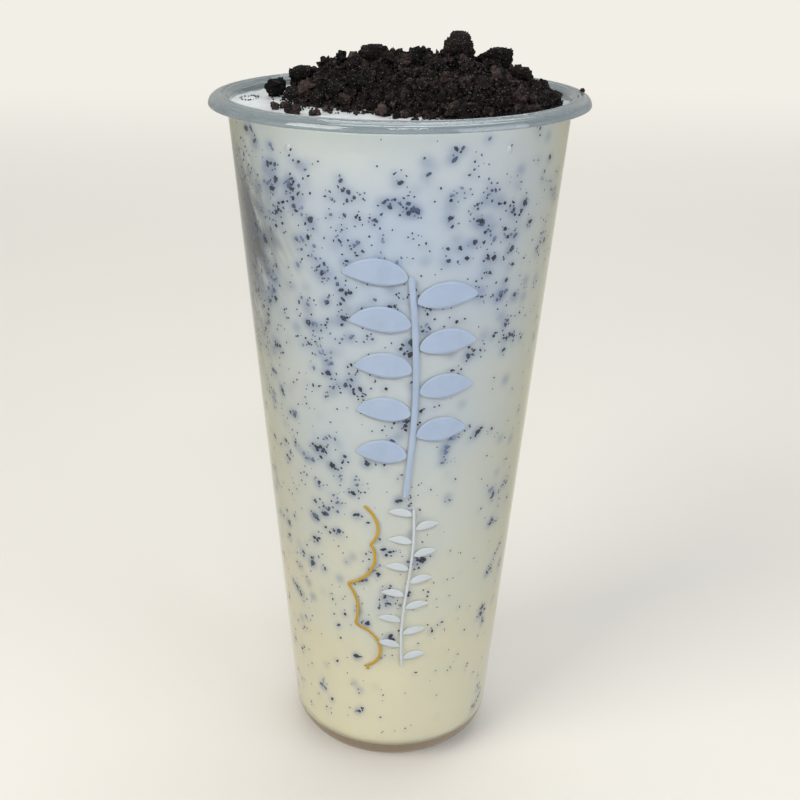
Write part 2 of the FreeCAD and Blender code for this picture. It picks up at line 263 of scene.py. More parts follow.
def crushed_biscuit():
    """Baked cocoa biscuit, crushed: near black and dry, browner where it broke, with pale flecks that are
    partly sugar grains and partly painted glints.
    """
    material, tree = new_material("crushed_cocoa_biscuit")
    place = add(tree, "TexCoord")
    tone = add(tree, "Attribute", attribute_name="tone")
    crumb = add(tree, "TexNoise", {"Vector": place.outputs["Object"], "Scale": per_mm(1.3), "Detail": 6.0,
                                   "Roughness": 0.7})
    brownness = add(tree, "Math", {0: crumb.outputs[0], 1: tone.outputs["Fac"]}, operation="MULTIPLY")
    browned = add(tree, "ValToRGB", {0: brownness.outputs[0]})
    ramp_stops(browned, [(0.14, "#010101"), (0.38, "#1c1513"), (0.72, "#52443f")])
    # Pale flecks: partly sugar grains, partly painted glints standing in for highlights
    glints_and_grains = add(tree, "TexVoronoi", {"Vector": place.outputs["Object"], "Scale": per_mm(0.6)})
    glint_and_grain_share = add(tree, "MapRange", {0: glints_and_grains.outputs["Distance"], 1: 0.22, 2: 0.1, 3: 0.0, 4: 0.4})
    coloured = add(tree, "MixRGB", {0: glint_and_grain_share.outputs[0], 1: browned.outputs[0], 2: linear("#b3a79d")})
    pores = add(tree, "Bump", {"Height": crumb.outputs[0], "Strength": 1.0, "Distance": 0.5 * MM})
    biscuit = add(tree, "BsdfPrincipled", {"Base Color": coloured.outputs[0], "Roughness": 0.8, "IOR": 1.45,
                                           "Specular IOR Level": 0.2, "Normal": pores.outputs[0]})
    shown(tree, biscuit)
    return material


def wet_speck():
    """Cookie dust seen through milk: slate blue to black, with no gloss of its own."""
    material, tree = new_material("soaked_cookie_speck")
    tone = add(tree, "Attribute", attribute_name="tone")
    colour = add(tree, "ValToRGB", {0: tone.outputs["Fac"]})
    ramp_stops(colour, [(0.0, "#182133"), (0.45, "#3a4a6a"), (1.0, "#7c8fb2")])
    speck = add(tree, "BsdfPrincipled", {"Base Color": colour.outputs[0], "Roughness": 0.6,
                                         "Specular IOR Level": 0.15})
    shown(tree, speck)
    return material


def frosted_ink(name, colour, cover):
    """Screen-printed ink on the plastic: a matt film that lets a little of the drink through."""
    material, tree = new_material(name)
    place = add(tree, "TexCoord")
    film = add(tree, "TexNoise", {"Vector": place.outputs["Object"], "Scale": per_mm(7.0), "Detail": 2.0})
    share = add(tree, "MapRange", {0: film.outputs[0], 1: 0.3, 2: 0.7, 3: cover - 0.05, 4: cover + 0.05})
    ink = add(tree, "BsdfPrincipled", {"Base Color": linear(colour), "Roughness": 0.45,
                                       "Alpha": share.outputs[0]})
    shown(tree, ink)
    return material


def studio_paper():
    """Matt background paper with a faint tooth. Far behind the cup the eye sees it evenly lit."""
    material, tree = new_material("background_paper")
    place = add(tree, "TexCoord")
    tooth = add(tree, "TexNoise", {"Vector": place.outputs["Object"], "Scale": per_mm(2.0), "Detail": 2.0})
    relief = add(tree, "Bump", {"Height": tooth.outputs[0], "Strength": 0.05, "Distance": 0.1 * MM})
    paper = add(tree, "BsdfPrincipled", {"Base Color": linear("#dedbd4"), "Roughness": 0.9,
                                         "Normal": relief.outputs[0]})
    depth = add(tree, "SeparateXYZ", {0: place.outputs["Object"]})
    far = add(tree, "MapRange", {0: depth.outputs["Y"], 1: -0.2, 2: 1.4}, interpolation_type="SMOOTHSTEP")
    path = add(tree, "LightPath")
    evenly = add(tree, "Math", {0: far.outputs[0], 1: path.outputs["Is Camera Ray"]}, operation="MULTIPLY")
    lit = add(tree, "Emission", {"Color": linear("#f2efe7")})
    shown(tree, add(tree, "MixShader", {0: evenly.outputs[0], 1: paper.outputs[0], 2: lit.outputs[0]}))
    return material


# ---------------------------------------------------------------- specks in the drink

# The drink reaches this far into the wall, and its side ends this far under the cream's highest point
REACH = 0.25 * MM
drink_top = cream_high.z - 1.6 * MM
TURNS_ACROSS = 390
CORNER_LEVELS = 14
WALL_LEVELS = 222
wall_levels = np.concatenate([
    np.linspace(drink_low.z + 0.02 * MM, drink_low.z + 9.0 * MM, CORNER_LEVELS),
    np.linspace(drink_low.z + 9.5 * MM, cup_high.z - 2.0 * MM, WALL_LEVELS),
])
wall_points, wall_normals = (np.array(a) for a in zip(*(inside_wall(z) for z in wall_levels)))
wall_reached = wall_points + REACH * wall_normals


def wall_radius(z):
    """The radius of the drink's outside, just into the wall."""
    return np.interp(z, wall_reached[:, 1], wall_reached[:, 0])


def drink_level(z):
    """The share of the height from the drink's bottom up to the cup's rim."""
    return (z - drink_low.z) / (cup_high.z - drink_low.z)


def bump(value, middle, spread):
    """A smooth hump: one at its middle and falling to nothing over a few spreads."""
    return math.exp(-((value - middle) / spread) ** 2)


def patches(turn, level, per_turn, per_height, offset):
    """Noise from -1 to 1 that wraps round the cup, by turn from the front and share of the height."""
    x, y = per_turn * math.sin(turn), per_turn * math.cos(turn)
    return noise.noise(Vector((x, y, per_height * level + offset)))


# The smear: its middle as turn and level, its spreads round the cup, how far its streaks lean and how thin
# they get between
SMEAR_TURN = -1.5
SMEAR_LEVEL = 0.83
SMEAR_FRONT_SPREAD = 0.4
SMEAR_BACK_SPREAD = 0.3
SMEAR_LEAN = 2.2
SMEAR_LEAST = 0.12


def smear_at(turn, z):
    """The dark smear of fine cookie pressed on the wall, high on the left: a dense heart with a thin
    fringe, both torn into slanted streaks."""
    level = drink_level(z)
    slant = turn + SMEAR_LEAN * level
    ragged = 1.1 + 1.5 * noise.noise(Vector((7.0 * slant, 20.0 * level, 2.0)))
    streaked = ragged + 1.3 * noise.noise(Vector((26.0 * slant, 50.0 * level, 5.0)))
    across = bump(turn, SMEAR_TURN, SMEAR_FRONT_SPREAD if turn > SMEAR_TURN else SMEAR_BACK_SPREAD)
    heart = 4.6 * bump(level, SMEAR_LEVEL, 0.058)
    fringe = 0.8 * bump(level, 0.8, 0.15)
    return max(0.0, (heart + fringe) * across * max(SMEAR_LEAST, streaked))


def haze_at(turn, z):
    """The blue-grey cast of drink that holds fine cookie: strongest high up, left of the front."""
    level = drink_level(z)
    high = 0.62 * bump(level, 0.84, 0.12) + 0.28 * bump(level, 0.62, 0.16)
    across = 0.25 + 0.85 * bump(turn, -0.2, 0.75)
    cloud = 1.0 + 1.3 * patches(turn, level, 2.6, 9.0, 4.0)
    return max(0.0, high * across * cloud)


# Close under the rim the specks thin out, except just right of the middle
SPARSE_FROM = 0.925
SPARSE_OVER = 0.03
SPARSE_LOSS = 0.88


def speck_density(turn, z):
    """How thickly specks gather, from 0 to 1: most high up and on the left, few at the bottom."""
    level = drink_level(z)
    by_level = 0.04 + 1.15 * bump(level, 0.87, 0.13) + 0.3 * bump(level, 0.52, 0.3)
    side = 1.0 - 0.6 * math.sin(turn)
    right_of_middle = bump(turn, 0.27, 0.24)
    near_rim = min(1.0, max(0.0, (level - SPARSE_FROM) / SPARSE_OVER))
    under_rim = 1.0 - SPARSE_LOSS * (1.0 - right_of_middle) * near_rim
    patch = 0.8 + 0.8 * patches(turn, level, 3.4, 13.0, 0.0)
    return max(0.0, min(1.0, by_level * side * under_rim * patch + 0.9 * smear_at(turn, z)))


# Of the places tried, those stay that the density lets through. Sizes are in mm
SPECK_SEED = 57
CHAINS_TRIED = 3800
CHAIN_LENGTH = 2.6
CHAIN_WANDER = 1.6
SPECK_SIZE = 0.67
SPECK_SIZE_SPREAD = 0.38
LARGEST_SPECK = 1.6
SINGLES_TRIED = 3300
SMEAR_DUST_TRIED = 5200
SMEAR_TURNS = (-2.6, -0.8)
SUNK_CRUMBS = 420


def speck_places(rng):
    """Turn, height, size in metres and paleness of every speck: wandering chains, single ones, and the fine
    dust of the smear."""
    specks = []
    low, high = drink_low.z + 6.0 * MM, drink_top - 0.4 * MM
    for _ in range(CHAINS_TRIED):
        turn, z = rng.uniform(-math.pi, math.pi), rng.uniform(low, high)
        if rng.random() > speck_density(turn, z):
            continue
        heading = rng.uniform(0.0, TAU)
        paleness = 0.9 * rng.random() ** 2
        for _ in range(1 + int(rng.exponential(CHAIN_LENGTH))):
            size = min(LARGEST_SPECK, SPECK_SIZE * math.exp(rng.normal(0.0, SPECK_SIZE_SPREAD))) * MM
            specks.append((turn, z, size, np.clip(paleness + rng.normal(0.0, 0.14), 0.0, 1.0)))
            heading += rng.normal(0.0, CHAIN_WANDER)
            step = rng.uniform(0.5, 2.0) * MM
            turn += step * math.cos(heading) / wall_radius(z)
            z = min(high, max(low, z + step * math.sin(heading)))
    for _ in range(SINGLES_TRIED):
        turn, z = rng.uniform(-math.pi, math.pi), rng.uniform(low, high)
        if rng.random() < 0.1 + speck_density(turn, z):
            specks.append((turn, z, rng.uniform(0.3, 0.7) * MM, rng.uniform(0.0, 0.7)))
    for _ in range(SMEAR_DUST_TRIED):
        turn, z = rng.uniform(*SMEAR_TURNS), rng.uniform(low, high)
        if rng.random() < smear_at(turn, z):
            specks.append((turn, z, rng.uniform(0.3, 0.74) * MM, rng.uniform(0.0, 0.5)))
    return np.array(specks)


def sunk_places(rng):
    """Turn, height and size of crumbs so deep in the drink that only a soft blue-grey shadow shows."""
    sunk = []
    while len(sunk) < SUNK_CRUMBS:
        turn, z = rng.uniform(-math.pi, math.pi), rng.uniform(drink_low.z + 8.0 * MM, drink_top - 3.0 * MM)
        if rng.random() < speck_density(turn, z) ** 1.3:
            sunk.append((turn, z, rng.uniform(0.5, 1.5) * MM))
    return np.array(sunk)


def ball(subdivisions):
    """Points and triangles of a unit icosphere."""
    shape = bmesh.new()
    bmesh.ops.create_icosphere(shape, subdivisions=subdivisions, radius=1.0)
    points = np.array([v.co[:] for v in shape.verts])
    faces = np.array([[v.index for v in f.verts] for f in shape.faces])
    shape.free()
    return points, faces


def broken_shapes(rng, subdivisions, count, cuts, roughness):
    """Unit crumbs: balls with flats broken off them and a rough skin."""
    points, faces = ball(subdivisions)
    shapes = []
    for _ in range(count):
        shape = points.copy()
        for _ in range(cuts):
            flat = rng.normal(size=3)
            flat /= np.linalg.norm(flat)
            above = np.maximum(shape @ flat - rng.uniform(0.45, 0.85), 0.0)
            shape -= above[:, None] * flat
        offset = Vector(rng.uniform(0.0, 50.0, 3))
        skin = [noise.noise(Vector(p) * 2.3 + offset) + 0.6 * noise.noise(Vector(p) * 5.1 + offset)
                for p in shape]
        shape *= 1.0 + roughness * np.array(skin)[:, None]
        shapes.append(shape)
    return shapes, faces


def join_copies(shapes, faces, picks, places, turns, scales):
    """One array of points and one of faces for many turned and scaled copies."""
    chosen = np.stack(shapes)[picks]
    points = np.einsum("nij,nkj->nki", turns, chosen * scales[:, None, :]) + places[:, None, :]
    count = chosen.shape[1]
    joined = faces[None] + (np.arange(len(picks)) * count)[:, None, None]
    return points.reshape(-1, 3), joined.reshape(-1, 3)


def random_turns(rng, count):
    """Random rotation matrices."""
    q = rng.normal(size=(count, 4))
    q /= np.linalg.norm(q, axis=1)[:, None]
    w, x, y, z = q.T
    return np.array([
        [1 - 2 * (y * y + z * z), 2 * (x * y - z * w), 2 * (x * z + y * w)],
        [2 * (x * y + z * w), 1 - 2 * (x * x + z * z), 2 * (y * z - x * w)],
        [2 * (x * z - y * w), 2 * (y * z + x * w), 1 - 2 * (x * x + y * y)],
    ]).transpose(2, 0, 1)


# Specks from this size up get more faces
LARGE_SPECK = 0.75 * MM
FLAKE_THICKNESS = 0.12 * MM


def make_specks(specks, material):
    """The specks against the wall as flat flakes, fine ones with fewer faces."""
    rng = np.random.default_rng(SPECK_SEED + 1)
    is_large = specks[:, 2] >= LARGE_SPECK
    made = []
    kinds = (("cookie_specks", 2, specks[is_large]), ("cookie_dust", 1, specks[~is_large]))
    for name, subdivisions, rows in kinds:
        shapes, faces = broken_shapes(rng, subdivisions, count=10, cuts=3, roughness=0.6)
        turn, z, size = rows[:, 0], rows[:, 1], rows[:, 2]
        radius = wall_radius(z)
        places = np.stack([radius * np.sin(turn), -radius * np.cos(turn), z], axis=1)
        outward = np.stack([np.sin(turn), -np.cos(turn), np.zeros_like(turn)], axis=1)
        along = np.stack([np.cos(turn), np.sin(turn), np.zeros_like(turn)], axis=1)
        spin = rng.uniform(0.0, TAU, len(rows))
        up = np.array([0.0, 0.0, 1.0])
        first = along * np.cos(spin)[:, None] + up * np.sin(spin)[:, None]
        second = -along * np.sin(spin)[:, None] + up * np.cos(spin)[:, None]
        turns = np.stack([first, second, outward], axis=2)
        stretch = rng.uniform(0.75, 1.3, len(rows))
        thickness = FLAKE_THICKNESS + 0.1 * size
        scales = np.stack([0.5 * size * stretch, 0.5 * size / stretch, thickness], axis=1)
        picks = rng.integers(0, len(shapes), len(rows))
        points, joined = join_copies(shapes, faces, picks, places, turns, scales)
        piece = make_piece(name, points, joined, material)
        paint(piece, "tone", np.repeat(rows[:, 3], len(shapes[0])))
        made.append(piece)
    return made


# ---------------------------------------------------------------- the drink

FIELD_STEP = 0.5 * MM
SPARE_ROWS = 40
# How wide the haze spreads round specks, and the shadows round them and over sunk crumbs, in mm
HAZE_BLUR = 4.5
SPECK_BLUR = 0.85
SUNK_BLUR = 0.9
# Specks under this size in mm cast no shadow
LEAST_CASTING = 0.2


def blurred(field, sigma):
    """A field on the wall grid blurred by a Gaussian of some grid steps, wrapping round the cup."""
    rows = np.fft.fftfreq(field.shape[0])[:, None]
    columns = np.fft.fftfreq(field.shape[1])[None, :]
    shape = np.exp(-2.0 * math.pi ** 2 * ((rows * sigma) ** 2 + (columns * sigma) ** 2))
    return np.fft.ifft2(np.fft.fft2(field) * shape).real


def speck_shadow(specks, sigma_mm, turn, z, floor_size=0.0):
    """How much speck lies near each of some places on the wall, blurred by sigma. The field is a grid of
    turns by heights, with spare rows past the top, as the blur wraps round there too."""
    mean_radius = float(wall_radius(0.6 * cup_high.z))
    across = int(TAU * mean_radius / FIELD_STEP)
    up = int(cup_high.z / FIELD_STEP) + SPARE_ROWS
    weights = np.maximum(specks[:, 2] / MM - floor_size, 0.0) ** 2
    column = ((specks[:, 0] % TAU) / TAU * across).astype(int) % across
    row = (specks[:, 1] / FIELD_STEP).astype(int)
    field = np.zeros((up, across))
    np.add.at(field, (row, column), weights)
    field = blurred(field, sigma_mm * MM / FIELD_STEP)
    at_column = (turn % TAU) / TAU * across
    at_row = z / FIELD_STEP
    c0, r0 = np.floor(at_column).astype(int), np.floor(at_row).astype(int)
    fc, fr = at_column - c0, at_row - r0
    c1, r1 = (c0 + 1) % across, np.minimum(r0 + 1, up - 1)
    c0 = c0 % across
    return ((1 - fr) * ((1 - fc) * field[r0, c0] + fc * field[r0, c1])
            + fr * ((1 - fc) * field[r1, c0] + fc * field[r1, c1]))


def levelled_off(amount, most, span):
    """Grows with an amount and levels off at most, once the amount is a few spans."""
    return most * (1.0 - np.exp(-amount / span))


def cloud_drink(piece, specks, sunk):
    """Writes on a piece the pale blue haze where specks are many, the smear, and the soft shadow close
    round each speck and over each sunk crumb."""
    places = np.array([v.co[:] for v in piece.data.vertices])
    turn = np.arctan2(places[:, 0], -places[:, 1])
    z = places[:, 2]
    region = speck_shadow(specks, HAZE_BLUR, turn, z)
    near = speck_shadow(specks, SPECK_BLUR, turn, z, LEAST_CASTING)
    deep = speck_shadow(sunk, SUNK_BLUR, turn, z)
    cast = np.array([haze_at(t, h) for t, h in zip(turn, z)])
    smear = np.array([smear_at(t, h) for t, h in zip(turn, z)])
    paint(piece, "haze", levelled_off(9.0 * region + cast, most=0.85, span=0.85))
    paint(piece, "halo", levelled_off(12.0 * near + 7.0 * deep, most=0.62, span=0.62))
    paint(piece, "smear", levelled_off(smear, most=0.95, span=0.7))


def ring_faces(first, second, count):
    """Faces between two rings of points that start at the given numbers."""
    following = [(i + 1) % count for i in range(count)]
    return [(first + i, first + j, second + j, second + i) for i, j in zip(range(count), following)]


def make_drink(material):
    """The drink, with its side just inside the cup's wall. It wets the wall up to the cream's edge as a
    thin skin round the cream."""
    skin = 0.7 * MM
    rings = [(r, z) for r, z in wall_reached if z < drink_top]
    rings += [(float(wall_radius(drink_top)), drink_top), (float(wall_radius(drink_top)) - skin, drink_top)]
    rings += [(float(wall_radius(drink_high.z)) - skin, drink_high.z)]
    turns = np.linspace(0.0, TAU, TURNS_ACROSS, endpoint=False)
    points, faces = [(0.0, 0.0, rings[0][1])], []
    for radius, z in rings:
        points += [(radius * math.sin(t), -radius * math.cos(t), z) for t in turns]
    points.append((0.0, 0.0, drink_high.z))
    last = len(points) - 1
    for ring in range(len(rings) - 1):
        start = 1 + ring * TURNS_ACROSS
        faces += ring_faces(start, start + TURNS_ACROSS, TURNS_ACROSS)
    inner = last - TURNS_ACROSS
    for i in range(TURNS_ACROSS):
        j = (i + 1) % TURNS_ACROSS
        faces.append((0, 1 + j, 1 + i))
        faces.append((inner + i, inner + j, last))
    return make_piece("milkshake_drink", points, faces, material)


# ---------------------------------------------------------------- the cream

CREAM_RINGS = 76
CREAM_TURNS = 230
# The bubble in the cream, in mm: its middle, by the side and back, and its half widths
BUBBLE = (-38.0, 3.4, 2.3, 3.4)


def cream_top(x, y):
    """The cream's top: the frame's surface with finer ripples, drawn up where it wets the wall and dished
    inside the bubble's ring."""
    edge = float(wall_radius(drink_top))
    radius = math.hypot(x, y)
    inner = min(radius, edge - 1.2 * MM) / max(radius, 1e-9)
    z = height_on(cream_surface, x * inner, y * inner)
    place = Vector((x, y, 0.0))
    ripple = noise.noise(place * per_mm(3.6)) + 0.4 * noise.noise(place * per_mm(1.4))
    wet = max(0.0, 1.0 - (edge - radius) / (1.6 * MM))
    off = math.hypot((x / MM - BUBBLE[0]) / BUBBLE[2], (y / MM - BUBBLE[1]) / BUBBLE[3])
    ring = math.exp(-((off - 1.0) / 0.22) ** 2) - 0.5 * math.exp(-(off / 0.7) ** 4)
    return z + 0.22 * MM * ripple + 0.5 * MM * wet * wet + 0.35 * MM * ring


def make_cream(material):
    """The layer of cream, from the top of the drink up to its rippled surface."""
    turns = np.linspace(0.0, TAU, CREAM_TURNS, endpoint=False)
    edge = float(wall_radius(drink_top))
    radii = edge * np.linspace(0.0, 1.0, CREAM_RINGS)[1:] ** 0.9
    points = [(0.0, 0.0, cream_top(0.0, 0.0))]
    for radius in radii:
        circle = [(radius * math.sin(t), -radius * math.cos(t)) for t in turns]
        points += [(x, y, cream_top(x, y)) for x, y in circle]
    for radius, z in ((edge - 1.0 * MM, drink_top - 0.4 * MM), (edge - 1.4 * MM, cream_low.z)):
        points += [(radius * math.sin(t), -radius * math.cos(t), z) for t in turns]
    points.append((0.0, 0.0, cream_low.z))
    last = len(points) - 1
    ring_count = len(radii) + 2
    faces = []
    for ring in range(ring_count - 1):
        start = 1 + ring * CREAM_TURNS
        faces += [f[::-1] for f in ring_faces(start, start + CREAM_TURNS, CREAM_TURNS)]
    inner = last - CREAM_TURNS
    for i in range(CREAM_TURNS):
        j = (i + 1) % CREAM_TURNS
        faces.append((0, 1 + i, 1 + j))
        faces.append((inner + j, inner + i, last))
    return make_piece("cream_layer", points, faces, material)


# ---------------------------------------------------------------- the crumbs

HEAP_SEED = 3
HEAP_STEP = 0.42 * MM
# The core lies this far under the heap's top, so that the crumbs on it fill the heap out
CORE_DROP = 0.8 * MM
CORE_FOOT = cream_low.z + 3.0 * MM


def make_heap_core(material):
    """The heap's body: the frame's heap, a little lower, with a broken and pitted skin, closed down into
    the cream."""
    xs = np.arange(heap_low.x, heap_high.x, HEAP_STEP)
    ys = np.arange(heap_low.y, heap_high.y, HEAP_STEP)
    index, points = {}, []
    for i, x in enumerate(xs):
        for j, y in enumerate(ys):
            z = height_on(heap_surface, x, y)
            if z is None:
                continue
            place = Vector((x, y, z))
            lump = noise.noise(place * per_mm(2.4))
            grit = noise.noise(place * per_mm(0.9))
            pit = min(0.0, noise.noise(place * per_mm(1.5) + Vector((7.0, 3.0, 1.0))) + 0.1)
            index[i, j] = len(points)
            points.append((x, y, z - CORE_DROP + MM * (0.9 * lump + 0.45 * grit + 1.1 * pit)))
    faces = []
    for (i, j), a in index.items():
        corners = [index.get(k) for k in ((i, j), (i + 1, j), (i + 1, j + 1), (i, j + 1))]
        if None not in corners:
            faces.append(corners)
    piece = make_piece("crumb_heap_body", points, faces, material)
    shape = bmesh.new()
    shape.from_mesh(piece.data)
    edge = [e for e in shape.edges if e.is_boundary]
    skirt = bmesh.ops.extrude_edge_only(shape, edges=edge)["geom"]
    for v in skirt:
        if isinstance(v, bmesh.types.BMVert):
            v.co.z = CORE_FOOT
    foot = [e for e in shape.edges if e.is_boundary]
    bmesh.ops.holes_fill(shape, edges=foot)
    bmesh.ops.recalc_face_normals(shape, faces=shape.faces)
    shape.to_mesh(piece.data)
    shape.free()
    rng = np.random.default_rng(HEAP_SEED)
    paint(piece, "tone", rng.uniform(0.3, 1.0, len(piece.data.vertices)))
    return piece


def ground_at(x, y):
    """The height of the heap or, beside it, of the cream, and whether it is the heap."""
    z = height_on(heap_surface, x, y)
    return (z, True) if z is not None else (cream_top(x, y), False)


# Crumbs from this size up keep clear of the clumps
CROWDING_SIZE = 2.0 * MM
CLUMP_NAMES = sorted(name for name in nodes if name.startswith("crumb_clump"))
clump_boxes = [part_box(name) for name in CLUMP_NAMES]


def crowds_clump(x, y, size):
    """Whether a coarse crumb would hide the foot of one of the big clumps."""
    if size < CROWDING_SIZE:
        return False
    for low, high in clump_boxes:
        away = math.hypot(x - 0.5 * (low.x + high.x), y - 0.5 * (low.y + high.y))
        if away < 0.5 * (high.x - low.x) + 0.4 * size:
            return True
    return False


WALL_CLEARANCE = 1.6 * MM
# A crumb beside the heap is judged by the nearest of these rings round it, in mm, that reaches the heap
STRAY_RINGS = (1.5, 3.0, 6.0)


def nearness(x, y):
    """How near the heap a place on the cream is: 1 close by, less further out and 0 past the last ring."""
    for ring in STRAY_RINGS:
        for turn in np.linspace(0.0, TAU, 8, endpoint=False):
            at_x, at_y = x + ring * MM * math.cos(turn), y + ring * MM * math.sin(turn)
            if height_on(heap_surface, at_x, at_y) is not None:
                return math.exp(-(ring - STRAY_RINGS[0]) / 2.2)
    return 0.0


def scatter(rng, count, size_range, skew, stray, sink):
    """Places and sizes of crumbs over the heap, with a share straying onto the cream close to its edge. A
    skew over 1 makes small ones commoner."""
    room = float(wall_radius(cream_high.z)) - WALL_CLEARANCE
    places, sizes = [], []
    while len(places) < count:
        x, y = rng.uniform(-room, room, 2)
        size = (size_range[0] + (size_range[1] - size_range[0]) * rng.random() ** skew) * MM
        if math.hypot(x, y) > room - 0.5 * size or crowds_clump(x, y, size):
            continue
        z, on_heap = ground_at(x, y)
        if not on_heap and rng.random() > stray * nearness(x, y):
            continue
        places.append((x, y, z + (0.5 - sink * rng.uniform(0.6, 1.4)) * size))
        sizes.append(size)
    return np.array(places), np.array(sizes)


# Each kind of crumb: name, seed, count, range of sizes in mm, skew to the small ones, share that strays
# beside the heap, share of the size sunk in it, then the subdivisions, flats and roughness of its shapes
CRUMB_KINDS = (
    ("crumbs_coarse", 5, 300, (2.2, 5.2), 1.8, 0.3, 0.44, 3, 6, 0.48),
    ("crumbs_medium", 6, 1500, (0.9, 1.9), 1.8, 0.6, 0.28, 2, 4, 0.38),
    ("crumbs_fine", 7, 9000, (0.4, 0.95), 1.3, 0.9, 0.2, 1, 2, 0.3),
)


def make_crumbs(material, name, seed, count, size_range, skew, stray, sink, subdivisions, cuts, roughness):
    """One kind of crumb, scattered and joined into one piece."""
    rng = np.random.default_rng(seed)
    places, sizes = scatter(rng, count, size_range, skew, stray, sink)
    shapes, faces = broken_shapes(rng, subdivisions, 14, cuts, roughness)
    squash = rng.uniform(0.65, 1.15, (len(sizes), 3))
    picks = rng.integers(0, len(shapes), len(sizes))
    scales = 0.5 * sizes[:, None] * squash
    turns = random_turns(rng, len(sizes))
    points, joined = join_copies(shapes, faces, picks, places, turns, scales)
    piece = make_piece(name, points, joined, material, smooth=False)
    paint(piece, "tone", np.repeat(rng.uniform(0.15, 1.0, len(sizes)), len(shapes[0])))
    return piece


# Lumps that rolled off the heap's edge: place to the side and back, and size, in mm
EDGE_LUMPS = [(-27.9, -13.6, 4.0), (-25.0, -21.6, 3.6), (-19.8, -23.0, 2.6), (-16.4, -17.6, 2.6),
              (-4.6, -22.0, 4.8), (1.4, -25.6, 3.8), (12.4, -26.8, 3.6), (20.4, -26.4, 3.0)]
LUMP_SEED = 12
PARTS_OF_LUMP = 5
BUBBLE_SPECKS = 46
RIM_CRUMB = (45.5 * MM, 0.9 * MM, cup_high.z + 0.35 * MM)
RIM_CRUMB_SIZE = 1.4 * MM


def make_lumps(material):
    """The lumps at the heap's edge, each of a few parts pressed together, one stray crumb on the rim, and
    the ring of specks round a bubble in the cream."""
    rng = np.random.default_rng(LUMP_SEED)
    places, sizes = [], []
    for x, y, size in EDGE_LUMPS:
        for _ in range(PARTS_OF_LUMP):
            at_x, at_y = x + 0.24 * size * rng.normal(), y + 0.24 * size * rng.normal()
            part = size * rng.uniform(0.45, 0.75)
            z = max(ground_at(at_x * MM, at_y * MM)[0], ground_at(x * MM, y * MM)[0])
            places.append((at_x * MM, at_y * MM, z + 0.3 * part * MM * rng.uniform(0.4, 1.3)))
            sizes.append(part * MM)
    for turn in np.linspace(0.3, TAU - 0.4, BUBBLE_SPECKS):
        if rng.random() < 0.7:
            x = (BUBBLE[0] + BUBBLE[2] * math.cos(turn) + rng.normal(0.0, 0.16)) * MM
            y = (BUBBLE[1] + BUBBLE[3] * math.sin(turn) + rng.normal(0.0, 0.16)) * MM
            places.append((x, y, cream_top(x, y) + 0.05 * MM))
            sizes.append(rng.uniform(0.25, 0.55) * MM)
    places.append(RIM_CRUMB)
    sizes.append(RIM_CRUMB_SIZE)
    shapes, faces = broken_shapes(rng, subdivisions=3, count=12, cuts=5, roughness=0.42)
    sizes = np.array(sizes)
    picks = rng.integers(0, len(shapes), len(sizes))
    scales = 0.5 * sizes[:, None] * rng.uniform(0.7, 1.15, (len(sizes), 3))
    turns = random_turns(rng, len(sizes))
    points, joined = join_copies(shapes, faces, picks, np.array(places), turns, scales)
    piece = make_piece("crumb_lumps", points, joined, material, smooth=False)
    paint(piece, "tone", np.repeat(rng.uniform(0.5, 1.2, len(sizes)), len(shapes[0])))
    return piece


CLUMP_SEED = 60
CLUMP_KNOBS = 34
CLUMP_CORE = 0.7
CLUMP_SKIN = 0.28
# The clump's foot goes this share of its half height deeper than its node
CLUMP_SINK = 0.12
# The share of points, in percent, that the node's box takes in, and how far the rest may stand out of it
CLUMP_FULLNESS = 96.0
CLUMP_REACH = 1.06
# Under 1 makes a clump boxier
CLUMP_BLOCKINESS = 0.86
# How much narrower a clump is at its foot
CLUMP_TUCK = 0.4


def make_clump(name, material, seed):
    """One big clump in place of its node: crumbs pressed together, so knobs stand out all round it."""
    low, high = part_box(name)
    middle = (np.array(low) + np.array(high)) / 2.0
    half = (np.array(high) - np.array(low)) / 2.0
    middle[2] -= CLUMP_SINK * half[2]
    half[2] *= 1.0 + CLUMP_SINK
    rng = np.random.default_rng(seed)
    points, faces = ball(5)
    knobs = rng.normal(size=(CLUMP_KNOBS, 3))
    knobs /= np.linalg.norm(knobs, axis=1)[:, None]
    sizes = rng.uniform(0.2, 0.4, len(knobs))
    reach = rng.uniform(0.56, 0.72, len(knobs))
    across = points @ knobs.T
    inside = np.maximum(sizes ** 2 - reach ** 2 * (1.0 - across ** 2), 0.0)
    radius = np.where((inside > 0.0) & (across > 0.0), reach * across + np.sqrt(inside), CLUMP_CORE)
    radius = radius.max(axis=1)
    offset = Vector(rng.uniform(0.0, 60.0, 3))
    skin = [0.6 * noise.noise(Vector(p) * 5.0 + offset) + 0.8 * noise.noise(Vector(p) * 12.0 + offset)
            for p in points]
    radius = radius * (1.0 + CLUMP_SKIN * np.array(skin))
    shape = points * radius[:, None]
    shape /= np.percentile(np.abs(shape), CLUMP_FULLNESS, axis=0)
    shape = np.clip(np.sign(shape) * np.abs(shape) ** CLUMP_BLOCKINESS, -CLUMP_REACH, CLUMP_REACH)
    shape[:, :2] *= 1.0 - CLUMP_TUCK * np.maximum(-shape[:, 2:], 0.0)
    piece = make_piece(name.replace("crumb_clump", "cookie_clump"), middle + shape * half, faces, material)
    paint(piece, "tone", np.full(len(points), rng.uniform(0.4, 0.75)))
    return piece


# ---------------------------------------------------------------- the print

PRINT_LIFT = 0.03 * MM
PRINT_FILM = 0.05 * MM


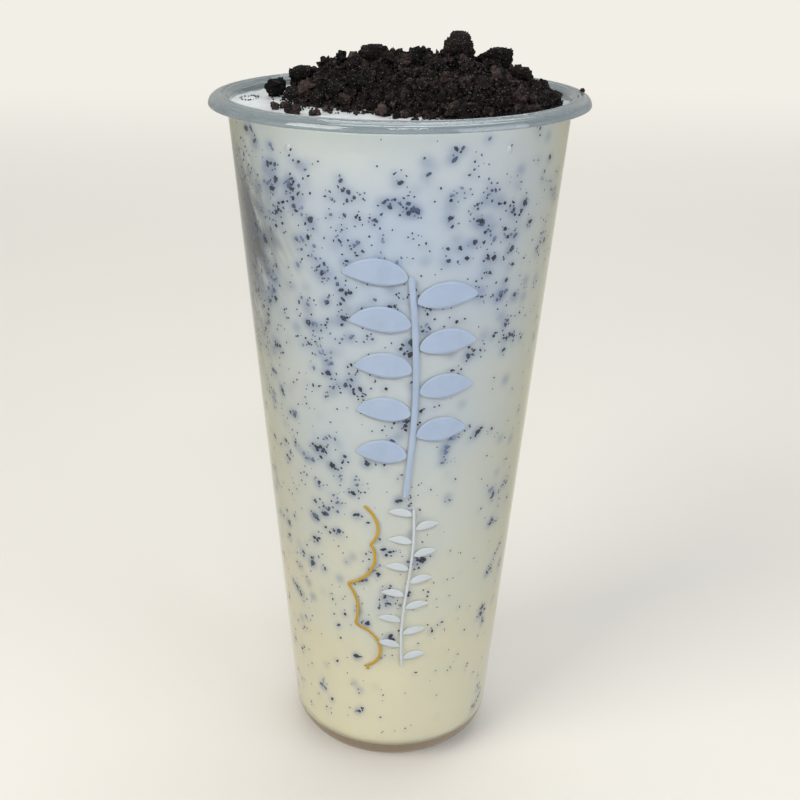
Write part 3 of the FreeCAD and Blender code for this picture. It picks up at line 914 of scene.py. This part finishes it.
def make_stroke(name, material, centre_line, width, count, across, leaf=False):
    """Ink laid on the outside of the cup along a line of (sideways, height) in mm: a round-ended stroke, or
    a leaf that swells from a point to its width and back. It has count places along and across faces over
    its width."""
    line = np.array([centre_line(t) for t in np.linspace(0.0, 1.0, count)]) * MM
    steps = np.linalg.norm(np.diff(line, axis=0), axis=1)
    run = np.concatenate([[0.0], np.cumsum(steps)])
    run_even = np.linspace(0.0, run[-1], count)
    line = np.stack([np.interp(run_even, run, line[:, k]) for k in (0, 1)], axis=1)
    along = np.gradient(line, axis=0)
    along /= np.linalg.norm(along, axis=1)[:, None]
    side = np.stack([-along[:, 1], along[:, 0]], axis=1)
    half = 0.5 * width * MM
    if leaf:
        half_here = half * np.sin(math.pi * (run_even / run[-1]) ** 0.85) ** 0.75
    else:
        inset = np.clip(half - np.minimum(run_even, run_even[-1] - run_even), 0.0, half)
        half_here = np.sqrt(np.maximum(half ** 2 - inset ** 2, 0.0))
    half_here = np.maximum(half_here, 0.01 * MM)
    points = []
    for layer in (PRINT_LIFT, PRINT_LIFT + PRINT_FILM):
        for n in range(count):
            for k in range(across + 1):
                s, z = line[n] + side[n] * half_here[n] * (2.0 * k / across - 1.0)
                wall = outside_wall(s / float(wall_radius(z)), z)
                outward = Vector((wall.x, wall.y, 0.0)).normalized()
                points.append(tuple(wall + outward * layer))
    row = across + 1
    layer_size = count * row
    faces = []
    for n in range(count - 1):
        for k in range(across):
            a = n * row + k
            faces.append((a, a + row, a + row + 1, a + 1))
            faces.append(tuple(layer_size + v for v in (a, a + 1, a + row + 1, a + row)))
    border = [n * row for n in range(count)] + [(count - 1) * row + k for k in range(1, row)]
    border += [n * row + across for n in range(count - 2, -1, -1)] + [k for k in range(across - 1, 0, -1)]
    for a, b in zip(border, border[1:] + border[:1]):
        faces.append((b, a, layer_size + a, layer_size + b))
    return make_piece(name, points, faces, material)


def leaf_line(foot, length, lean, droop):
    """The middle of a leaf from its foot: lean is the direction it starts in, in radians from level and to
    the right, and droop is how far that direction has turned clockwise at its tip."""
    def line(t):
        turn = lean - droop * t
        return foot[0] + length * t * math.cos(turn), foot[1] + length * t * math.sin(turn)
    return line


# The sprig, in mm and radians
LEAVES = 9
LEAF_LENGTH = 15.5
LEAF_WIDTH = 6.6
LEAF_LEAN = 0.42
LEAF_DROOP = 0.35
STEM_WIDTH = 1.5
SMALL_LEAVES = 12
SMALL_LEAF_LENGTH = 6.2
SMALL_LEAF_WIDTH = 2.5
SMALL_LEAF_LEAN = 0.5
SMALL_LEAF_DROOP = 0.3
SMALL_STEM_WIDTH = 0.7
TENDRIL_WIDTH = 0.7


def stem_line(t):
    """The stem of the broad leaves, from its top down."""
    return 3.4 + 1.6 * math.sin(3.4 * t), 150.0 - 60.0 * t


def small_stem_line(t):
    """The stem of the small leaves, from its top down."""
    return 4.0 + 1.4 * math.sin(4.5 * t + 1.0), 87.0 - 51.0 * t


def tendril_line(t):
    """The tendril, from its top down: a slow sway with small curls."""
    sway = 3.4 * math.sin(9.0 * t) + 1.5 * math.sin(25.0 * t)
    return -7.4 + sway, 86.0 - 53.0 * t + 1.5 * math.cos(25.0 * t)


def make_print(frost, white, gold):
    """A plain decoration of a leafy sprig: broad frosted leaves above, small white ones below on a stem of
    their own, and a thin gold tendril."""
    made = [make_stroke("print_stem", frost, stem_line, STEM_WIDTH, count=120, across=2)]
    for n in range(LEAVES):
        foot_x, foot_z = stem_line(0.02 + 0.098 * n)
        side = 1 if n % 2 else -1
        lean = LEAF_LEAN if side > 0 else math.pi - LEAF_LEAN
        foot = (foot_x + 0.9 * side, foot_z + 0.4)
        line = leaf_line(foot, LEAF_LENGTH - 0.35 * n, lean, LEAF_DROOP * side)
        name = f"print_leaf_{n + 1}"
        made.append(make_stroke(name, frost, line, LEAF_WIDTH, count=40, across=8, leaf=True))
    stem = make_stroke("print_small_stem", white, small_stem_line, SMALL_STEM_WIDTH, count=100, across=2)
    made.append(stem)
    for n in range(SMALL_LEAVES):
        foot_x, foot_z = small_stem_line(0.04 + 0.082 * n)
        side = 1 if n % 2 else -1
        lean = SMALL_LEAF_LEAN if side > 0 else math.pi - SMALL_LEAF_LEAN
        line = leaf_line((foot_x + 0.4 * side, foot_z), SMALL_LEAF_LENGTH, lean, SMALL_LEAF_DROOP * side)
        name = f"print_small_leaf_{n + 1}"
        made.append(make_stroke(name, white, line, SMALL_LEAF_WIDTH, count=24, across=4, leaf=True))
    tendril = make_stroke("print_gold_tendril", gold, tendril_line, TENDRIL_WIDTH, count=260, across=2)
    made.append(tendril)
    return made


# ---------------------------------------------------------------- stage, light and camera

def make_stage():
    """A pale paper sweep: floor, bend and backdrop in one sheet, in metres."""
    half_width, front, bend_start, bend, top = 2.5, -1.6, 1.4, 0.5, 2.4
    profile = [(front, 0.0), (bend_start, 0.0)]
    for turn in np.linspace(0.0, 0.5 * math.pi, 13)[1:]:
        profile.append((bend_start + bend * math.sin(turn), bend * (1.0 - math.cos(turn))))
    profile.append((bend_start + bend, top))
    points = [(x, y, z) for y, z in profile for x in (-half_width, half_width)]
    faces = [(2 * n, 2 * n + 1, 2 * n + 3, 2 * n + 2) for n in range(len(profile) - 1)]
    sweep = make_piece("paper_sweep", points, faces, studio_paper())


def add_lamp(name, place, width, height, watts, colour):
    """A rectangular soft lamp that faces the middle of the cup."""
    data = bpy.data.lights.new(name, "AREA")
    data.shape = "RECTANGLE"
    data.size = width
    data.size_y = height
    data.energy = watts
    data.color = linear(colour)[:3]
    lamp = bpy.data.objects.new(name, data)
    lamp.location = place
    aim = Vector((0.0, 0.0, 0.5 * cup_high.z)) - lamp.location
    lamp.rotation_euler = aim.to_track_quat("-Z", "Y").to_euler()
    bpy.context.scene.collection.objects.link(lamp)


# Each lamp: name, place, width, height, watts and colour
LAMPS = (
    ("key_lamp", (-0.85, -0.65, 0.8), 0.7, 0.7, 11.4, "#fffaf2"),
    ("fill_lamp", (0.9, -0.6, 0.36), 0.9, 0.9, 7.3, "#f6f8ff"),
    ("window_lamp", (0.08, -0.85, 1.0), 0.42, 0.12, 2.6, "#ffffff"),
    ("top_lamp", (0.1, 0.35, 1.1), 0.8, 0.8, 5.3, "#ffffff"),
)
SURROUND_STRENGTH = 0.34


def light_studio():
    """Plain soft light: a broad key from above left, a fill from the right, a small window in front for the
    rim's gloss, a soft top light and an even surround."""
    for lamp in LAMPS:
        add_lamp(*lamp)
    world = bpy.data.worlds.new("surround")
    world.use_nodes = True
    world.node_tree.nodes["Background"].inputs["Color"].default_value = linear("#eef1f4")
    world.node_tree.nodes["Background"].inputs["Strength"].default_value = SURROUND_STRENGTH
    bpy.context.scene.world = world


# The camera's turns are in radians, its lens in mm and its shift a share of the frame
CAMERA_PLACE = (0.0, -300.5 * MM, 228.2 * MM)
CAMERA_DOWN = 0.3964
CAMERA_LEFT = 0.0312
CAMERA_ROLL = 0.0028
LENS = 52.93
SHIFT = 0.049


def place_camera():
    """The camera looks down on the cup from the front."""
    data = bpy.data.cameras.new("camera")
    data.lens = LENS
    data.sensor_width = 36.0
    data.shift_x = SHIFT
    camera = bpy.data.objects.new("camera", data)
    aim = Matrix.Rotation(CAMERA_LEFT, 4, "Z") @ Matrix.Rotation(0.5 * math.pi - CAMERA_DOWN, 4, "X")
    camera.matrix_world = Matrix.Translation(CAMERA_PLACE) @ aim @ Matrix.Rotation(CAMERA_ROLL, 4, "Z")
    bpy.context.scene.collection.objects.link(camera)
    bpy.context.scene.camera = camera


# ---------------------------------------------------------------- putting it together

place_camera()
make_stage()
light_studio()
bpy.context.scene.view_settings.view_transform = "Standard"

plastic = polypropylene()
nodes["cup"].data.materials.clear()
nodes["cup"].data.materials.append(plastic)

specks = speck_places(np.random.default_rng(SPECK_SEED))
sunk = sunk_places(np.random.default_rng(SPECK_SEED + 2))
drink = make_drink(milk_drink())
cloud_drink(drink, specks, sunk)
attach(drink, "root")
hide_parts("milkshake")

for piece in make_specks(specks, wet_speck()):
    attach(piece, "root")

cream = make_cream(whipped_cream())
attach(cream, "root")
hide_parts("whipped_cream")

biscuit = crushed_biscuit()
core = make_heap_core(biscuit)
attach(core, "root")
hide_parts("crumb_heap")
for kind in CRUMB_KINDS:
    crumbs = make_crumbs(biscuit, *kind)
    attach(crumbs, "root")
lumps = make_lumps(biscuit)
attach(lumps, "root")
for n, name in enumerate(CLUMP_NAMES):
    clump = make_clump(name, biscuit, CLUMP_SEED + n)
    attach(clump, "root")
    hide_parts(name)

blue_ink = frosted_ink("frosted_blue_ink", "#a9bad2", 0.74)
white_ink = frosted_ink("frosted_white_ink", "#c9d1d6", 0.75)
gold_ink = frosted_ink("gold_ink", "#b68f0a", 0.94)
for piece in make_print(blue_ink, white_ink, gold_ink):
    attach(piece, "root")
